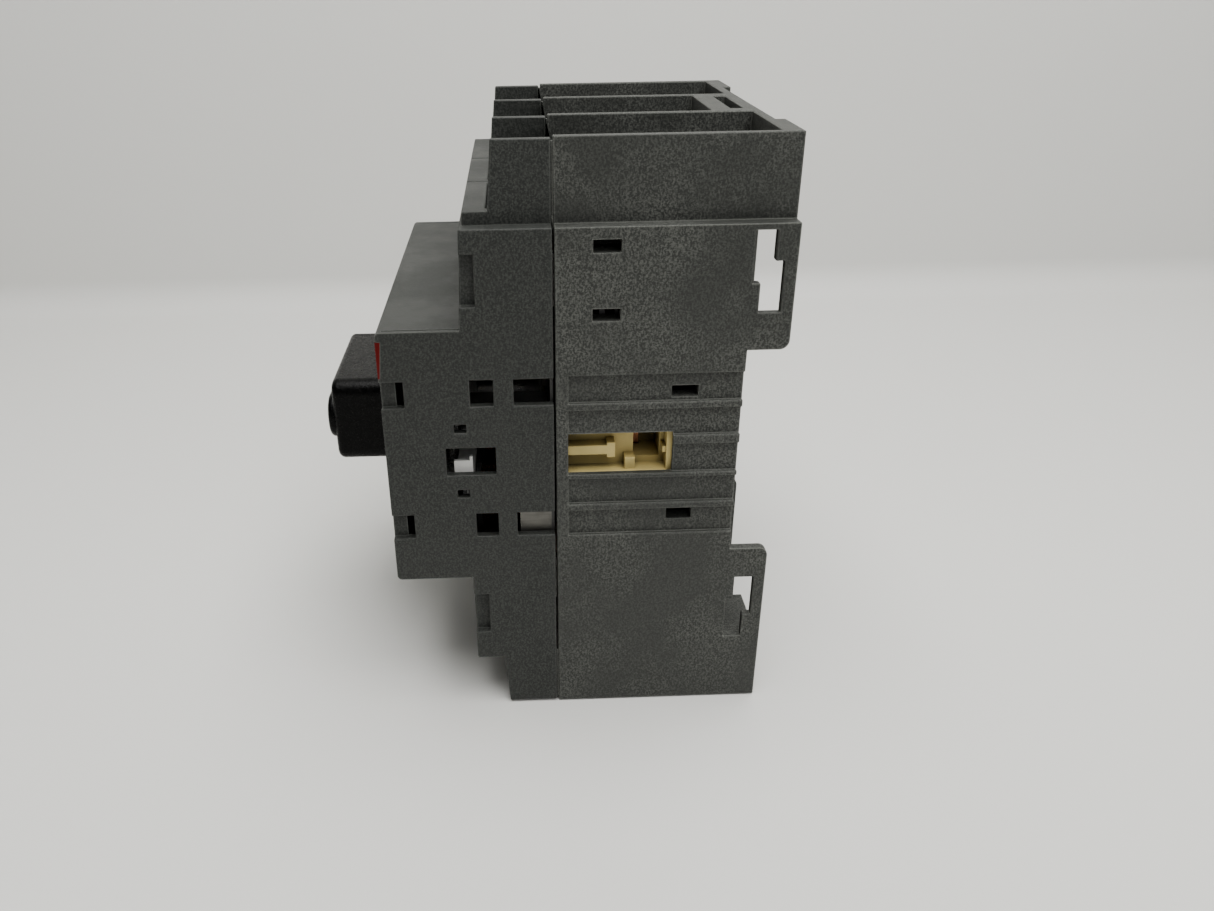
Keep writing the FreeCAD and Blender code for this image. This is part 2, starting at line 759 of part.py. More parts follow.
def front_cover():
    back = "-face_depth + cover_thickness"
    plate = box("cover_plate", centred("width - 2 * cover_rim - 0.1"), ("-face_depth", back),
                centred("block_height - 2 * cover_rim - 0.1"))
    through = ("-face_depth - 1", f"{back} + 1")
    tools = [
        rod("shaft_hole", "y", ("0", "axis_height"), "shaft_radius + running_gap", through),
        rod("dial_hole", "y", ("dial_x", "dial_z"), "dial_radius + running_gap", through),
        box("button_hole", centred("button_width + 2 * running_gap", "button_x"), through,
            centred("button_width + 2 * running_gap", "button_z")),
        box("label_seat", centred("label_width", "label_x"),
            ("-face_depth - 1", "-face_depth + label_thickness"), centred("label_height", "label_z")),
        corner_wedge("cover_inlay_recess"),
    ]
    keep(cut("front_cover_solid", plate, tools), "front_cover")
    label = box("rating_label_plate", centred("label_width", "label_x"),
                ("-face_depth", "-face_depth + label_thickness"), centred("label_height", "label_z"))
    keep(label, "rating_label")
    keep(corner_wedge("inlay_wedge"), "corner_inlay")


# ---------------------------------------------------------------- handle, dial and button
def softened_block(name, size, depth, ends, softness):
    """A block on the handle's axis with round ends and a softened front face."""
    body = new_body(name)
    sketch = sketch_on(body, "XZ_Plane", f"{name}_outline", depth[0])
    left, right = centred(size[0])
    low, high = centred(size[1])
    outline(sketch, [(left, low), (right, low), (right, high), (left, high)])
    block = pad(body, sketch, f"{depth[1]} - ({depth[0]})")
    rounded = fillet(body, block, ends, lambda edge: runs_along(edge, Vector(0, 1, 0)))
    fillet(body, rounded, softness, lambda edge: lies_at(edge, -number(depth[1])))
    place(body, z="axis_height")
    return body


def rotary_handle():
    """A grip with rounded ends and a raised, rounded crest across its front."""
    grip = softened_block("handle_grip", ("grip_length", "grip_height"),
                          ("handle_base", "handle_front"), "grip_radius", "grip_softness")
    crest = softened_block("handle_crest", ("grip_length - 2 * crest_inset", "crest_width"),
                           ("handle_front - grip_softness", "crest_front"), "crest_end", "crest_radius")
    return fuse("handle_blank", [grip, crest])


def handle_parts():
    slot_x = ("lock_left - 0.2", "lock_right + 0.2")
    tools = [
        rod("handle_bore", "y", ("0", "axis_height"), "shaft_radius", ("-shaft_front", "-handle_base + 1")),
        box("lock_slot", slot_x, ("-crest_front - 1", "-handle_base - lock_floor"),
            centred("lock_width + 0.4", "axis_height")),
    ]
    keep(cut("handle_solid", rotary_handle(), tools), "rotary_handle")
    slide = box("lock_blade", ("lock_left", "lock_right"),
                ("-crest_front + 0.2", "-handle_base - lock_floor - 0.3"),
                centred("lock_width", "axis_height"))
    eye = rod("padlock_eye", "z", ("(lock_left + lock_right) / 2", "-crest_front + 4.2"), "1.6",
              ("axis_height - lock_width", "axis_height + lock_width"))
    keep(cut("lock_slide_solid", slide, [eye]), "handle_lock_slide")
    spindle = rod("spindle", "y", ("0", "axis_height"), "shaft_radius", ("-shaft_front", "-cam_front"))
    cam = rod("cam", "y", ("0", "axis_height"), "cam_radius", ("-cam_front - 0.1", "-shaft_rear"))
    crank = box("crank", ("-1.5", "1.5"), ("-cam_front - 4", "-cam_front"),
                ("axis_height", "axis_height + 6.5"))
    keep(fuse("drive_shaft_solid", [spindle, cam, crank]), "drive_shaft")


def setting_dial():
    body = new_body("dial_turned")
    sketch = sketch_on(body, "XY_Plane", "dial_section")
    face, back = "-face_depth - 0.9", "-face_depth + cover_thickness + 0.2"
    outline(sketch, [
        ("0", face), ("dial_radius - 0.5", face), ("dial_radius", f"{face} + 0.5"), ("dial_radius", back),
        ("dial_radius + 0.8", back), ("dial_radius + 0.8", f"{back} + 0.8"), ("1.8", f"{back} + 0.8"),
        ("1.8", f"{back} + 2.2"), ("0", f"{back} + 2.2"),
    ])
    turned = body.newObject("PartDesign::Revolution", "dial_revolution")
    turned.Profile = sketch
    turned.ReferenceAxis = (sketch, ["V_Axis"])
    turned.Angle = 360
    place(body, x="dial_x", z="dial_z")
    slot = box("dial_slot", centred("2 * dial_radius - 3", "dial_x"),
               ("-face_depth - 2", "-face_depth + 0.1"), centred("1.1", "dial_z"))
    pointer = box("dial_pointer_mark", ("dial_x + dial_radius - 1.6", "dial_x + dial_radius + 1"),
                  ("-face_depth - 2", "-face_depth - 0.5"), centred("0.7", "dial_z"))
    keep(cut("dial_solid", body, [slot, pointer]), "setting_dial")


def test_button():
    cap = box("button_cap", centred("button_width", "button_x"),
              ("-face_depth + 0.2", "-face_depth + cover_thickness + 0.3"),
              centred("button_width", "button_z"))
    collar = box("button_collar", centred("button_width + 1.6", "button_x"),
                 ("-face_depth + cover_thickness + 0.3", "-face_depth + cover_thickness + 1.1"),
                 centred("button_width + 1.6", "button_z"))
    keep(fuse("test_button_solid", [cap, collar]), "test_button")


# ---------------------------------------------------------------- fasteners, terminals and rail latch
def fixing_screws():
    shanks = fixing_rods("fixing_shank", "fixing_radius - running_gap",
                         ("-fixing_front + 1", "-fixing_tip - 0.2"))
    heads = fixing_rods("fixing_head", "fixing_head", ("-fixing_front", "-fixing_front + 1.4"))
    places = [(sign, up) for sign in SIDES.values() for up in ENDS.values()]
    screws = []
    for index, (shank, head, (sign, up)) in enumerate(zip(shanks, heads, places), start=1):
        drive = box(f"fixing_drive_{index}", centred("2.4", f"{sign} * pole_pitch / 2"),
                    ("-fixing_front - 1", "-fixing_front + 0.7"), centred("0.5", f"{up} * fixing_z"))
        screws.append(cut(f"fixing_screw_{index}", fuse(f"fixing_blank_{index}", [shank, head]), [drive]))
    keep(group("fixing_screw_set", screws), "housing_screws")


def terminals():
    """A box clamp and its screw for each of the six terminals."""
    screws = []
    for end, up in ENDS.items():
        for pole in POLES:
            tag = f"{end}_{pole}"
            x, z = pole_x(pole), f"{up} * terminal_at"
            low, high = centred("clamp_height", z)
            outer = box(f"clamp_outer_{tag}", centred("clamp_width", x),
                        ("-clamp_front", "-clamp_rear"), (low, high))
            inner = box(f"clamp_inner_{tag}", centred("clamp_width - 2 * clamp_wall", x),
                        ("-clamp_front + clamp_wall", "-clamp_rear - clamp_wall"),
                        (f"{low} - 1", f"{high} + 1"))
            thread = rod(f"clamp_thread_{tag}", "y", (x, z), "screw_radius + running_gap",
                         ("-clamp_front - 1", "-clamp_front + clamp_wall + 1"))
            keep(cut(f"clamp_{tag}", outer, [inner, thread]), f"terminal_clamp_{tag}")
            head = rod(f"screw_head_{tag}", "y", (x, z), "screw_head_radius",
                       ("-screw_front", "-screw_front + 2.8"))
            shank = rod(f"screw_shank_{tag}", "y", (x, z), "screw_radius",
                        ("-screw_front + 2.7", "-screw_tip"))
            slots = [
                box(f"screw_slot_{turn}_{tag}", centred(wide, x), ("-screw_front - 1", "-screw_front + 1.4"),
                    centred(tall, z))
                for turn, wide, tall in (("across", "4.4", "0.9"), ("along", "0.9", "4.4"))
            ]
            screws.append(cut(f"screw_{tag}", fuse(f"screw_blank_{tag}", [head, shank]), slots))
    keep(group("terminal_screw_set", screws), "terminal_screws")


def rail_latch():
    """A sliding latch in a channel of the rear wall, shown drawn back from the rail."""
    top = "-rail_recess / 2 - 0.2"
    blade = box("latch_blade", centred("latch_width"), ("-latch_thickness - 0.1", "-0.1"),
                ("-overall_height / 2 + 0.5", top))
    tooth = box("latch_tooth", centred("latch_width - 1"), ("-0.2", "latch_reach"), (f"{top} - 3.4", top))
    gap = box("rail_flange_room", centred("latch_width"), ("-0.1", "rail_gap"),
              (f"{top} - 1.6", f"{top} + 1"))
    pull = box("latch_pull", centred("latch_width - 3"), ("-0.2", "1.6"),
               ("-overall_height / 2 + 0.5", "-overall_height / 2 + 3"))
    window = box("latch_spring_window", centred("4.6"), ("-latch_thickness - 1", "1"),
                 ("latch_spring_foot - 3.8", "latch_spring_head"))
    keep(cut("latch_solid", fuse("latch_blank", [blade, tooth, pull]), [gap, window]), "rail_latch")
    coil = spring("latch_coil", "z", ("0", "-latch_thickness / 2 - 0.15"), "0.55", "0.16",
                  ("latch_spring_foot + 0.05", "latch_spring_head - 0.05"), 8)
    keep(coil, "rail_latch_spring")


# ---------------------------------------------------------------- current path
def fixed_contacts():
    """A bent copper strip from each clamp to a silver pad at the back of the pole cavity."""
    for end, up in ENDS.items():
        for pole in POLES:
            name = f"{end}_contact_{pole}"
            body = new_body(f"{name}_strip")
            sketch = sketch_on(body, "YZ_Plane", f"{name}_path")
            corners = [
                ("-blade_front", "blade_low"), ("-blade_front", "run_top"), ("-strip_rear", "run_top"),
                ("-strip_rear", "strip_end"), ("-strip_rear - strip", "strip_end"),
                ("-strip_rear - strip", "run_top - strip"), ("-blade_front + strip", "run_top - strip"),
                ("-blade_front + strip", "blade_low"),
            ]
            outline(sketch, [(across, f"{up} * ({height})") for across, height in corners])
            pad(body, sketch, "strip_width", both_ways=True)
            place(body, x=pole_x(pole))
            button = rod(f"{name}_pad", "y", (pole_x(pole), f"{up} * contact_at"), "contact_radius",
                         ("-contact_face", "-strip_rear - strip / 2"))
            keep(fuse(f"{name}_solid", [body, button]), name)


def contact_bridges():
    tip = "-contact_face - contact_gap"
    coils = []
    for pole in POLES:
        x = pole_x(pole)
        bar = box(f"bridge_bar_{pole}", centred("strip_width", x),
                  (f"{tip} - 1.5 - bridge_thickness", f"{tip} - 1.5"), centred("2 * bridge_half"))
        pads = [
            rod(f"bridge_pad_{pole}_{end}", "y", (x, f"{up} * contact_at"), "contact_radius",
                (f"{tip} - 2", tip))
            for end, up in ENDS.items()
        ]
        keep(fuse(f"bridge_{pole}", [bar] + pads), f"contact_bridge_{pole}")
        coils.append(spring(f"contact_coil_{pole}", "y", (x, "0"), "2.3", "0.4",
                            ("-slot_front + 0.1", f"{tip} - 1.6 - bridge_thickness"), 6))
    keep(group("contact_coils", coils), "contact_springs")


def arc_chutes():
    """A stack of steel splitter plates at each break, notched towards the contacts."""
    for end, up in ENDS.items():
        for pole in POLES:
            name = f"arc_chute_{end}_{pole}"
            body = new_body(name)
            body.AllowCompound = True
            sketch = sketch_on(body, "XZ_Plane", f"{name}_plate", "plate_front")
            corners = [
                ("-plate_half", "plate_low"), ("-plate_notch", "plate_low"), ("-1", "plate_low + 5"),
                ("1", "plate_low + 5"), ("plate_notch", "plate_low"), ("plate_half", "plate_low"),
                ("plate_half", "plate_high"), ("-plate_half", "plate_high"),
            ]
            outline(sketch, [(across, f"{up} * ({height})") for across, height in corners])
            plate = pad(body, sketch, "plate_thickness", backwards=True)
            stack = body.newObject("PartDesign::LinearPattern", f"{name}_stack")
            stack.Originals = [plate]
            stack.Direction = (sketch, ["N_Axis"])
            stack.Reversed = True
            bind(stack, Length="(plate_count - 1) * plate_pitch", Occurrences="plate_count")
            body.Tip = stack
            place(body, x=pole_x(pole))
            keep(body, name)


def contact_carrier():
    """The sliding frame that holds the three bridges, with a ribbed pocket in each end."""
    blank = box("carrier_blank", centred("carrier_width"), ("-carrier_front", "-carrier_rear"),
                centred("2 * carrier_half"))
    tip = "-contact_face - contact_gap"
    tools = [
        box(f"bridge_slot_{pole}", centred("strip_width + 0.6", pole_x(pole)),
            ("-slot_front", f"{tip} - 1.4"), centred("2 * carrier_half + 2"))
        for pole in POLES
    ]
    ribs = []
    for side, sign in SIDES.items():
        end = mirrored("carrier_width / 2 - carrier_pocket", "carrier_width / 2 + 1", sign)
        inside = mirrored("carrier_width / 2 - carrier_pocket - 0.2", "carrier_width / 2 - 0.6", sign)
        deep = mirrored("carrier_width / 2 - 9", "carrier_width / 2 + 1", sign)
        tools.append(box(f"end_pocket_{side}", end, ("-carrier_front - 1", "-11.6"), ("-3.3", "5.2")))
        tools.append(box(f"end_hole_{side}", deep, ("-16.8", "-12.4"), ("-2.1", "5.2")))
        ribs += [
            box(f"stem_{side}", inside, ("-carrier_front", "-21.2"), ("-0.5", "1.2")),
            box(f"stem_head_{side}", inside, ("-21.4", "-20"), ("-1.1", "1.7")),
            box(f"stop_block_{side}", inside, ("-18.4", "-16.7"), ("-3.4", "-1.2")),
            box(f"stop_tab_{side}", inside, ("-12.2", "-11.5"), ("-0.4", "0.8")),
        ]
    follower = rod("cam_follower", "y", ("0", "axis_height"), "3",
                   ("-carrier_front - 2.8", "-carrier_front + 0.5"))
    body = cut("carrier_frame", blank, tools)
    keep(fuse("carrier_solid", [body] + ribs + [follower]), "contact_carrier")


# ---------------------------------------------------------------- releases and latch mechanism
def magnets():
    frame = [
        box("frame_plate", centred("2 * frame_half"), ("-frame_rear - 1.2", "-frame_rear"),
            ("frame_low", "frame_high")),
    ]
    for side, sign in SIDES.items():
        frame.append(box(f"frame_wing_{side}", mirrored("frame_half - 1", "frame_half", sign),
                         ("-36", "-frame_rear - 1"), ("frame_low", "frame_high")))
    for pole in POLES:
        at = (pole_x(pole), "coil_height")
        frame.append(rod(f"core_{pole}", "y", at, "plunger_radius", ("-core_front", "-frame_rear - 1")))
    keep(fuse("frame_solid", frame), "magnet_frame")
    coils = []
    for pole in POLES:
        bobbin = new_body(f"bobbin_turned_{pole}")
        sketch = sketch_on(bobbin, "XY_Plane", f"bobbin_section_{pole}")
        outline(sketch, [
            ("bobbin_bore", "-coil_front"), ("coil_radius + 0.4", "-coil_front"),
            ("coil_radius + 0.4", "-coil_front + 0.8"), ("bobbin_bore + 0.7", "-coil_front + 0.8"),
            ("bobbin_bore + 0.7", "-coil_rear - 0.8"), ("coil_radius + 0.4", "-coil_rear - 0.8"),
            ("coil_radius + 0.4", "-coil_rear"), ("bobbin_bore", "-coil_rear"),
        ])
        turned = bobbin.newObject("PartDesign::Revolution", f"bobbin_revolution_{pole}")
        turned.Profile = sketch
        turned.ReferenceAxis = (sketch, ["V_Axis"])
        turned.Angle = 360
        place(bobbin, x=pole_x(pole), z="coil_height")
        coils.append(bobbin)
        at = (pole_x(pole), "coil_height")
        winding = ("-coil_front + 0.85", "-coil_rear - 0.85")
        wound = rod(f"winding_{pole}", "y", at, "coil_radius", winding)
        bore = rod(f"winding_bore_{pole}", "y", at, "bobbin_bore + 0.75", ("-coil_front", "-coil_rear"))
        keep(cut(f"coil_{pole}", wound, [bore]), f"magnet_coil_{pole}")
        rod_ = rod(f"plunger_rod_{pole}", "y", at, "plunger_radius", ("-plunger_front", "-plunger_rear"))
        head = rod(f"plunger_head_{pole}", "y", at, "plunger_radius + 1.2",
                   ("-plunger_front", "-plunger_front + 0.8"))
        keep(fuse(f"plunger_solid_{pole}", [rod_, head]), f"plunger_{pole}")
    keep(group("bobbin_set", coils), "coil_bobbins")
    returns = [
        spring(f"plunger_coil_{pole}", "y", (pole_x(pole), "coil_height"), "1.2", "0.22",
               ("-plunger_rear + 0.05", "-core_front - 0.05"), 3)
        for pole in POLES
    ]
    keep(group("plunger_coils", returns), "plunger_springs")


def bimetals():
    for pole in POLES:
        x = pole_x(pole)
        strip = box(f"bimetal_leaf_{pole}", centred("5", x), ("-bimetal_tip", "-31.6"),
                    centred("0.8", "bimetal_height"))
        foot = box(f"bimetal_foot_{pole}", centred("6", x), ("-31.7", "-30.7"),
                   ("bimetal_height - 3.4", "bimetal_height + 3.4"))
        keep(fuse(f"bimetal_{pole}_solid", [strip, foot]), f"bimetal_{pole}")
        turns = []
        for turn in range(5):
            depth = (f"-34 - {turn} * 2.1", f"-33.2 - {turn} * 2.1")
            outer = box(f"heater_outer_{pole}_{turn}", centred("7.4", x), depth,
                        centred("3.2", "bimetal_height"))
            inner = box(f"heater_inner_{pole}_{turn}", centred("6.2", x),
                        (f"{depth[0]} - 1", f"{depth[1]} + 1"), centred("2", "bimetal_height"))
            turns.append(cut(f"heater_turn_{pole}_{turn}", outer, [inner]))
            if turn < 4:
                link = (f"{depth[0]} - 1.4", f"{depth[0]} + 0.1")
                turns.append(box(f"heater_link_{pole}_{turn}", (f"{x} + 3.1", f"{x} + 3.7"), link,
                                 centred("0.8", "bimetal_height")))
        keep(fuse(f"heater_{pole}_solid", turns), f"heater_{pole}")


def trip_train():
    plate = box("slide_plate", ("-31", "29"), ("-slide_front", "-slide_front + 1.2"), ("9", "15.6"))
    slots = [
        box(f"slide_slot_{pole}", centred("8", pole_x(pole)),
            ("-slide_front - 1", "-slide_front + 2"), ("8", "10.4"))
        for pole in POLES
    ]
    teeth = [
        box(f"slide_tooth_{pole}", (f"{pole_x(pole)} + 3.2", f"{pole_x(pole)} + 4.6"),
            ("-slide_front + 1.1", "-bimetal_tip + 1.4"), ("10.8", "13.4"))
        for pole in POLES
    ]
    keep(fuse("trip_slide_solid", [cut("slide_frame", plate, slots)] + teeth), "trip_slide")
    shaft = [rod("trip_rod", "x", ("-trip_axis_depth", "trip_axis_height"), "trip_rod_radius",
                 ("-trip_rod_half", "trip_rod_half"))]
    for pole in POLES:
        shaft.append(box(f"trip_paddle_{pole}", centred("4", pole_x(pole)),
                         ("-trip_axis_depth + 0.6", "-trip_axis_depth + 1.5"),
                         ("trip_axis_height", "trip_axis_height + 5.3")))
    keep(fuse("trip_shaft_solid", shaft), "trip_shaft")


def latch_mechanism():
    """The inner plate with its post, the latch lever that turns on it and the spring that pulls it."""
    plate = box("base_sheet", centred("2 * frame_half"), ("-base_front", "-base_rear"),
                centred("2 * base_half"))
    post = box("lever_post", centred("5", "lever_x"), ("-lever_post_front", "-base_front + 0.2"),
               ("lever_z - 1.7", "lever_z + 1.7"))
    tools = [
        rod("lever_bore", "y", ("lever_x", "lever_z"), "lever_pivot_radius + running_gap",
            ("-lever_post_front - 1", "-lever_post_front + 3")),
        rod("follower_way", "y", ("0", "axis_height"), "3.6", ("-base_front - 1", "-base_rear + 1")),
    ]
    keep(cut("mechanism_plate_solid", fuse("mechanism_blank", [plate, post]), tools), "mechanism_plate")
    body = new_body("latch_plate")
    sketch = sketch_on(body, "XZ_Plane", "latch_outline", "lever_depth")
    outline(sketch, [
        ("-2.4", "-2.4"), ("2.4", "-2.4"), ("3.4", "1"), ("10", "3.6"), ("10", "5.8"), ("1.6", "3.4"),
        ("-1.6", "3.4"), ("-5.6", "1.6"), ("-5.6", "0"),
    ])
    pad(body, sketch, "1.4")
    place(body, x="lever_x", z="lever_z")
    pivot = rod("lever_pivot", "y", ("lever_x", "lever_z"), "lever_pivot_radius",
                ("-lever_depth - 2.6", "-lever_post_front + 2.8"))
    keep(fuse("latch_lever_solid", [body, pivot]), "latch_lever")
    coil = spring("main_coil", "x", ("-lever_depth - 0.7", "lever_z + 4.7"), "1.6", "0.3",
                  ("lever_x + 10.1", "width / 2 - side_wall - 0.1"), 6)
    keep(coil, "main_spring")


def auxiliary_driver():
    """A white fork, moved with the handle, that reaches the windows in both side walls."""
    depth = ("-driver_front", "-driver_front + 3.1")
    fin = ("-driver_front + 2.6", "-driver_front + 3.1")
    pieces = [box("driver_bridge", ("-8", "8"), depth, ("2", "3.6"))]
    for side, sign in SIDES.items():
        plate = mirrored("driver_half - driver_plate", "driver_half", sign)
        pieces += [
            box(f"driver_post_{side}", mirrored("6", "8", sign), depth, ("-6.2", "3")),
            box(f"driver_arm_{side}", mirrored("7", "driver_half", sign), depth, ("-6.2", "-5")),
            box(f"driver_nose_{side}", plate, depth, ("-6", "-0.65")),
            box(f"driver_fin_{side}", plate, fin, ("-1", "0.1")),
        ]
    keep(fuse("driver_solid", pieces), "auxiliary_driver")


# ---------------------------------------------------------------- build, test and write
def build():
    rear_housing()
    front_shell()
    front_cover()
    handle_parts()
    setting_dial()
    test_button()
    fixing_screws()
    terminals()
    rail_latch()
    fixed_contacts()
    contact_bridges()
    arc_chutes()
    contact_carrier()
    magnets()
    bimetals()
    trip_train()
    latch_mechanism()
    auxiliary_driver()
    doc.recompute()


def test():
    for obj in doc.Objects:
        if {"Invalid", "Error"} & set(obj.State):
            raise ValueError(f"{obj.Label} failed: {obj.State}")
    for obj in sub_parts:
        if obj.Shape.isNull() or not obj.Shape.isValid():
            raise ValueError(f"{obj.Label} has no valid shape")


def write():
    os.makedirs("parts", exist_ok=True)
    for obj in sub_parts:
        obj.Shape.exportStep(f"parts/{obj.Label}.step")
    print(len(sub_parts), "sub-parts written")


build()
test()
write()
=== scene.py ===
"""Looks of the motor protection breaker: materials, softened mouldings, printed marks, light and camera."""
import json
import math

import bmesh
import bpy
from mathutils import Matrix, Vector


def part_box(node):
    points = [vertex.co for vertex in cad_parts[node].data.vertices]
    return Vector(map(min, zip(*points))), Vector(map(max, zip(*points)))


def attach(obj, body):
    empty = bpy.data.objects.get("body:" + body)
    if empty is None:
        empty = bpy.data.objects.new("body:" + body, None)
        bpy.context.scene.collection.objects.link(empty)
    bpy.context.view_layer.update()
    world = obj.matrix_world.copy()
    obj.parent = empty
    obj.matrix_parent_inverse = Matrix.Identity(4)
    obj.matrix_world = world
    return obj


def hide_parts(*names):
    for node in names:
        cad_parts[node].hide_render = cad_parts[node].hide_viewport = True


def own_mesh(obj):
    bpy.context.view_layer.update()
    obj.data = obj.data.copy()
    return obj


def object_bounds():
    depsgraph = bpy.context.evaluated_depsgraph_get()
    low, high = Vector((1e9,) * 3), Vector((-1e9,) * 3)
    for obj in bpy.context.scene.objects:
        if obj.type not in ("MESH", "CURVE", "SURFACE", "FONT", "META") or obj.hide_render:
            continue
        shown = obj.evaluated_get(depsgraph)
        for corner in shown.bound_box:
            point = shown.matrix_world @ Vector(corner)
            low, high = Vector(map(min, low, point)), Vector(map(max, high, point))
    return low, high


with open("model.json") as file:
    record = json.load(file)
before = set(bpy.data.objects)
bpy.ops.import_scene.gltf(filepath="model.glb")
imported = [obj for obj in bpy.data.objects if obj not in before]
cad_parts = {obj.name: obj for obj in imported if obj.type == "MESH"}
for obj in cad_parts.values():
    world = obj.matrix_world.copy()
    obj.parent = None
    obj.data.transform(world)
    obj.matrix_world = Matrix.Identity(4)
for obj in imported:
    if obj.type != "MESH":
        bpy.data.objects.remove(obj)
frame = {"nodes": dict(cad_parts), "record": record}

MM = 0.001
POLE_PITCH = 21.2 * MM
cad_low, cad_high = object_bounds()
nodes = frame["nodes"]


# ------------------------------------------------------------------ camera
def make_camera():
    """The viewpoint: beside the breaker's right side, a little above it and looking down."""
    back = Vector((0.89055, -0.02221, 0.45434)).normalized()
    right = Vector((0.03247, 0.99936, -0.01479))
    right = (right - back * right.dot(back)).normalized()
    up = back.cross(right)
    data = bpy.data.cameras.new("camera")
    data.sensor_width = 36.0
    data.lens = 28.716
    data.shift_x = 0.0516
    data.shift_y = -0.0027
    data.clip_start = 0.01
    data.clip_end = 10.0
    camera = bpy.data.objects.new("camera", data)
    bpy.context.collection.objects.link(camera)
    turn = Matrix((right, up, back)).transposed().to_4x4()
    camera.matrix_world = Matrix.Translation(Vector((0.175105, -0.035293, 0.072952))) @ turn
    bpy.context.scene.camera = camera


make_camera()


# ------------------------------------------------------------------ node tree helper
class Tree:
    """Builds one material's node tree with short calls."""

    def __init__(self, name):
        self.material = bpy.data.materials.new(name)
        self.material.use_nodes = True
        self.tree = self.material.node_tree
        self.shader = self.tree.nodes["Principled BSDF"]
        self.place = self.tree.nodes.new("ShaderNodeTexCoord").outputs["Object"]

    def add(self, kind, **settings):
        node = self.tree.nodes.new(kind)
        for key, value in settings.items():
            setattr(node, key, value)
        return node

    def feed(self, socket, value):
        if isinstance(value, bpy.types.NodeSocket):
            self.tree.links.new(value, socket)
        else:
            socket.default_value = value

    def stretched(self, scale, turn=(0, 0, 0)):
        node = self.add("ShaderNodeMapping")
        self.feed(node.inputs["Vector"], self.place)
        node.inputs["Scale"].default_value = scale
        node.inputs["Rotation"].default_value = turn
        return node.outputs["Vector"]

    def noise(self, scale, detail=3.0, roughness=0.55, where=None):
        node = self.add("ShaderNodeTexNoise")
        self.feed(node.inputs["Vector"], where or self.place)
        node.inputs["Scale"].default_value = scale
        node.inputs["Detail"].default_value = detail
        node.inputs["Roughness"].default_value = roughness
        return node.outputs["Fac"]

    def spread(self, value, low, high, to_low=0.0, to_high=1.0):
        """Maps low..high of a value to to_low..to_high, clamped."""
        node = self.add("ShaderNodeMapRange")
        for socket, given in zip(node.inputs, (value, low, high, to_low, to_high)):
            self.feed(socket, given)
        return node.outputs["Result"]

    def calc(self, operation, a, b):
        node = self.add("ShaderNodeMath", operation=operation)
        self.feed(node.inputs[0], a)
        self.feed(node.inputs[1], b)
        return node.outputs["Value"]

    def mix(self, amount, a, b):
        node = self.add("ShaderNodeMix", data_type="RGBA")
        self.feed(node.inputs["Factor"], amount)
        self.feed(node.inputs["A"], a if isinstance(a, bpy.types.NodeSocket) else (*a, 1.0))
        self.feed(node.inputs["B"], b if isinstance(b, bpy.types.NodeSocket) else (*b, 1.0))
        return node.outputs["Result"]

    def edges(self, reach=0.0003):
        """1 along edges, 0 further than reach from one."""
        rounded = self.add("ShaderNodeBevel", samples=6)
        rounded.inputs["Radius"].default_value = reach
        turn = self.add("ShaderNodeVectorMath", operation="DOT_PRODUCT")
        self.feed(turn.inputs[0], rounded.outputs["Normal"])
        self.feed(turn.inputs[1], self.add("ShaderNodeNewGeometry").outputs["Normal"])
        return self.spread(turn.outputs["Value"], 0.995, 0.80)

    def openness(self, distance):
        """1 on open faces, towards 0 deep inside pockets."""
        node = self.add("ShaderNodeAmbientOcclusion", samples=12)
        node.inputs["Distance"].default_value = distance
        return node.outputs["AO"]

    def bump(self, height, distance, strength=1.0, under=None):
        node = self.add("ShaderNodeBump")
        node.inputs["Strength"].default_value = strength
        node.inputs["Distance"].default_value = distance
        self.feed(node.inputs["Height"], height)
        if under is not None:
            self.feed(node.inputs["Normal"], under)
        return node.outputs["Normal"]

    def finish(self, colour, roughness, normal=None, metallic=0.0, **plain):
        self.feed(self.shader.inputs["Base Color"],
                  colour if isinstance(colour, bpy.types.NodeSocket) else (*colour, 1.0))
        self.feed(self.shader.inputs["Roughness"], roughness)
        self.shader.inputs["Metallic"].default_value = metallic
        if normal is not None:
            self.feed(self.shader.inputs["Normal"], normal)
        for name, value in plain.items():
            self.shader.inputs[name.replace("_", " ")].default_value = value
        return self.material


# ------------------------------------------------------------------ materials
def scaled(colour, factor, lift=0.0):
    """A colour made darker or lighter, never brighter than white."""
    return [min(1.0, channel * factor + lift) for channel in colour]


def fibre_plastic(name, dark, light, mottle=1.0, grain=1.0):
    """Glass-filled polyamide: pale fibre specks in grey, dull clouds, painted highlights along the edges."""
    look = Tree(name)
    specks = look.noise(3400, 2.0, 0.6, look.stretched((1.0, 1.0, 0.6), (0.6, 0.3, 0.9)))
    flecks = look.noise(4600, 2.0, 0.6, look.stretched((1.0, 0.6, 1.0), (0.2, 0.9, 0.4)))
    clouds = look.noise(48, 5.0, 0.65)
    patch = look.spread(clouds, 0.42, 0.60)
    mixed = look.calc("ADD", look.calc("MULTIPLY", specks, 0.55), look.calc("MULTIPLY", flecks, 0.45))
    fibre = look.spread(mixed, 0.44, 0.60)
    amount = look.calc("MULTIPLY", fibre, look.spread(patch, 0.0, 1.0, 1.0 - 0.65 * mottle, 1.0))
    body = look.mix(amount, dark, light)
    # painted highlight: a lighter colour along the edges, standing in for the light that rounded edges catch
    painted_edge_highlight = look.mix(look.calc("MULTIPLY", look.edges(0.0004), 0.7), body, scaled(light, 2.6))
    rough = look.spread(patch, 0.0, 1.0, 0.44, 0.60)
    rough = look.calc("ADD", rough, look.calc("MULTIPLY", fibre, 0.10))
    normal = look.bump(mixed, 0.00012 * grain, 0.55)
    return look.finish(painted_edge_highlight, rough, normal, Specular_IOR_Level=0.3)


